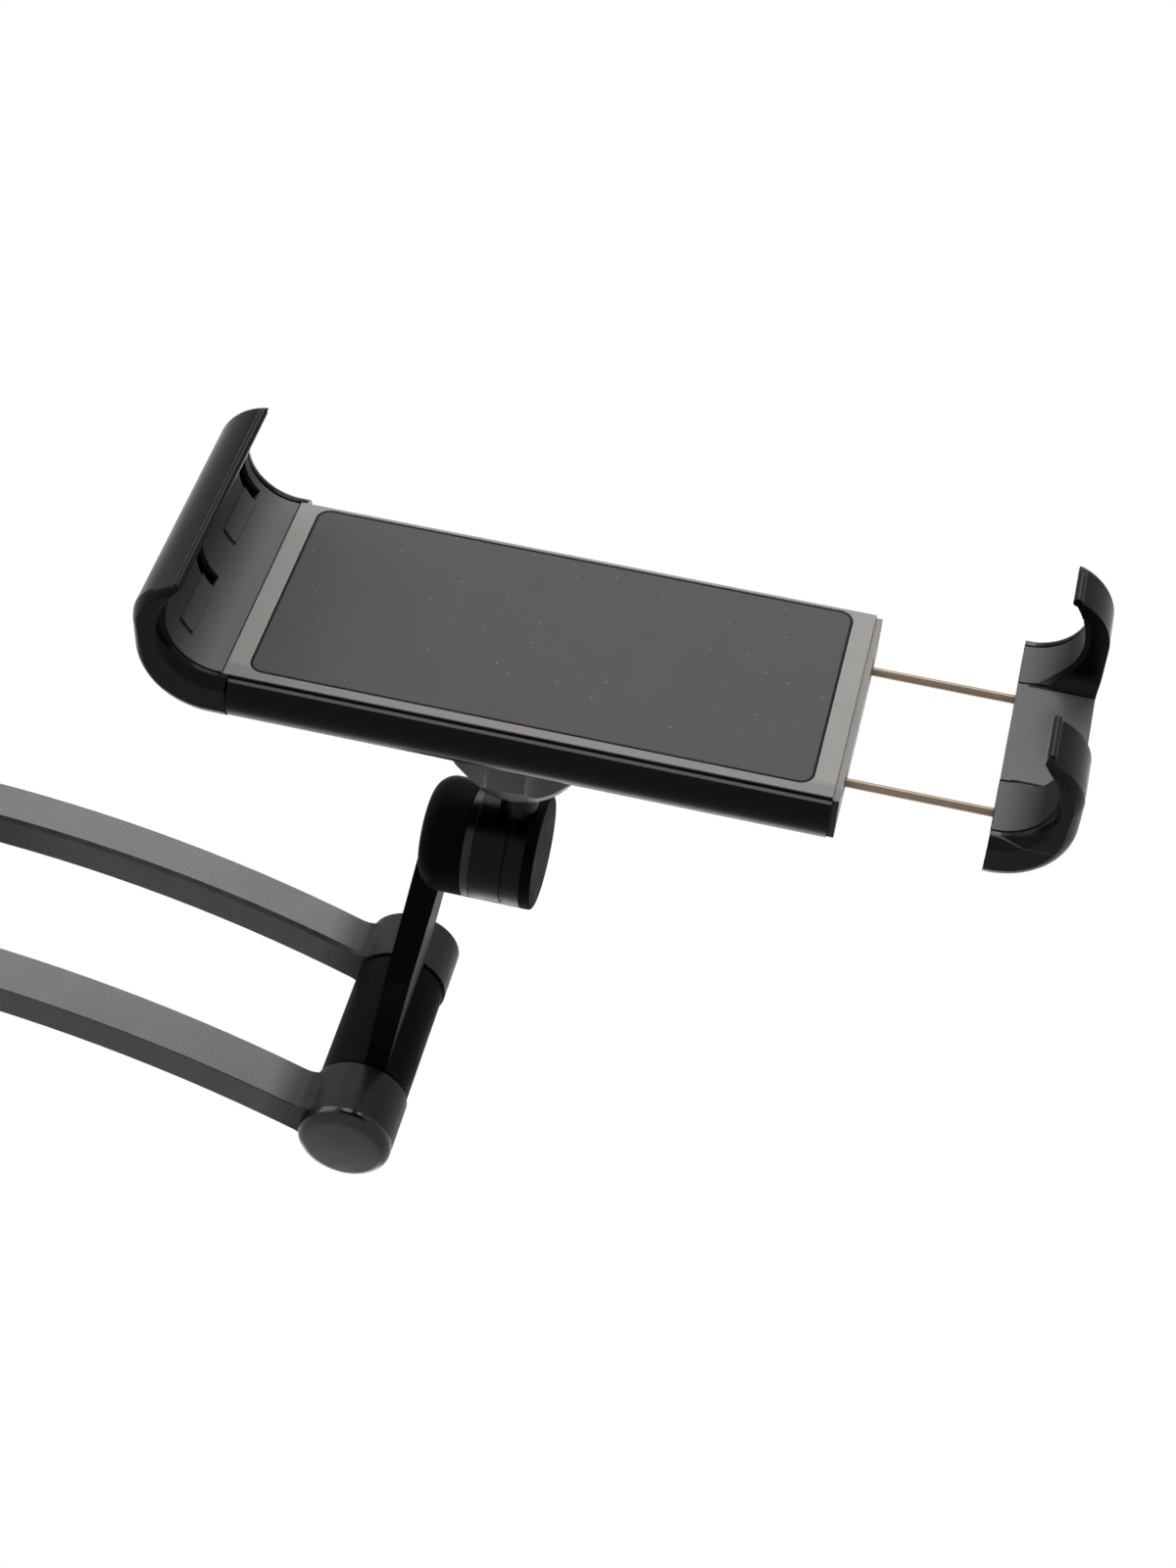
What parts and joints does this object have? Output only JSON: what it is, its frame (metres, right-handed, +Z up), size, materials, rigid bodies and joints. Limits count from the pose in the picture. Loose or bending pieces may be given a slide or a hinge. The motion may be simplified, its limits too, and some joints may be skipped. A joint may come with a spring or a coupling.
{
  "type": "headrest tablet mount",
  "caption": "Tablet cradle with a spring-out jaw on guide rods, carried by a ball joint, a tilting hub and a curved folding arm clamped to headrest posts.",
  "frame": {"origin": "on the axis of the left headrest post, at mid height of its clamp jaw", "axes": "+X to the right along the clamp rail, +Y away from the passenger towards the seat back, +Z up along the posts"},
  "size_m": [0.4276, 0.2038, 0.068],
  "materials": {
    "clamp_black": "fine moulded texture",
    "knob_black": "ribbed moulded plastic",
    "jaw_black": "satin to glossy moulded plastic",
    "border_grey": "fine moulded texture",
    "pad_rubber": "matte rubber",
    "grip_rubber": "matte rubber",
    "bar_coat": "fine-grained powder coat",
    "joint_coat": "satin black coat",
    "cap_plastic": "satin moulded plastic",
    "washer_steel": "polished",
    "pin_steel": "turned",
    "rod_steel": "drawn, with a bronze tint",
    "nylon": "moulded nylon"
  },
  "bodies": {
    "clamp": {"clamp_rail": "clamp_black", "left_post_pad": "grip_rubber", "pressure_plate": "pin_steel"},
    "post_slide": {"slide_bar": "clamp_black", "right_post_pad": "grip_rubber"},
    "knob": {"lock_knob": "knob_black", "lock_screw": "pin_steel"},
    "fork": {"fork_upper_bar": "bar_coat", "fork_lower_bar": "bar_coat", "rear_pin": "pin_steel", "elbow_pin": "pin_steel", "rear_cap_upper": "cap_plastic", "rear_cap_lower": "cap_plastic", "elbow_cap_upper": "cap_plastic", "elbow_cap_lower": "cap_plastic", "rear_washers": "washer_steel", "elbow_washers": "washer_steel"},
    "blade": {"blade_arm": "joint_coat", "tilt_bolt": "pin_steel", "bolt_cover": "cap_plastic", "tilt_washer": "washer_steel"},
    "hub": {"tilt_hub": "joint_coat", "hub_end_cap": "joint_coat", "ball_stud": "pin_steel"},
    "seat": {"ball_seat": "nylon"},
    "collar": {"ball_collar": "nylon"},
    "cradle": {"back_shell": "jaw_black", "front_cover": "border_grey", "rubber_pad": "pad_rubber", "end_plate": "border_grey", "rod_bushes": "nylon", "cover_screws": "pin_steel", "left_jaw": "jaw_black", "left_jaw_liner": "grip_rubber", "left_jaw_screws": "pin_steel"},
    "nut": {"lock_nut": "jaw_black"},
    "tablet_jaw": {"right_jaw": "jaw_black", "right_jaw_liner": "grip_rubber", "upper_rod": "rod_steel", "lower_rod": "rod_steel", "rod_collars": "pin_steel"}
  },
  "joints": [
    {"name": "post_spread", "type": "slide", "parent": "clamp", "child": "post_slide", "axis": [1, 0, 0], "range_m": [-0.022, 0.03]},
    {"name": "knob_turn", "type": "hinge", "parent": "clamp", "child": "knob", "pos_m": [0.102, -0.031, 0], "axis": [0, -1, 0], "range_deg": [-360, 0]},
    {"name": "arm_swing", "type": "hinge", "parent": "clamp", "child": "fork", "pos_m": [0.07, -0.0454, 0], "axis": [0, 0, 1], "range_deg": [-190, 12]},
    {"name": "elbow_swing", "type": "hinge", "parent": "fork", "child": "blade", "pos_m": [0.26375, -0.02332, 0], "axis": [0, 0, 1], "range_deg": [-50, 130]},
    {"name": "hub_tilt", "type": "hinge", "parent": "blade", "child": "hub", "pos_m": [0.27755, -0.10162, 0], "axis": [1, 0, 0], "range_deg": [-75, 75]},
    {"name": "ball_nod", "type": "hinge", "parent": "hub", "child": "seat", "pos_m": [0.29505, -0.14302, 0], "axis": [1, 0, 0], "range_deg": [-15, 15]},
    {"name": "ball_swing", "type": "hinge", "parent": "seat", "child": "collar", "pos_m": [0.29505, -0.14302, 0], "axis": [0, 0, 1], "range_deg": [-15, 15]},
    {"name": "ball_roll", "type": "hinge", "parent": "collar", "child": "cradle", "pos_m": [0.29505, -0.14302, 0], "axis": [0, 1, 0], "continuous": true},
    {"name": "nut_turn", "type": "hinge", "parent": "cradle", "child": "nut", "pos_m": [0.29505, -0.14302, 0], "axis": [0, 1, 0], "range_deg": [0, 180]},
    {"name": "jaw_slide", "type": "slide", "parent": "cradle", "child": "tablet_jaw", "axis": [1, 0, 0], "range_m": [-0.03, 0.045]}
  ]
}
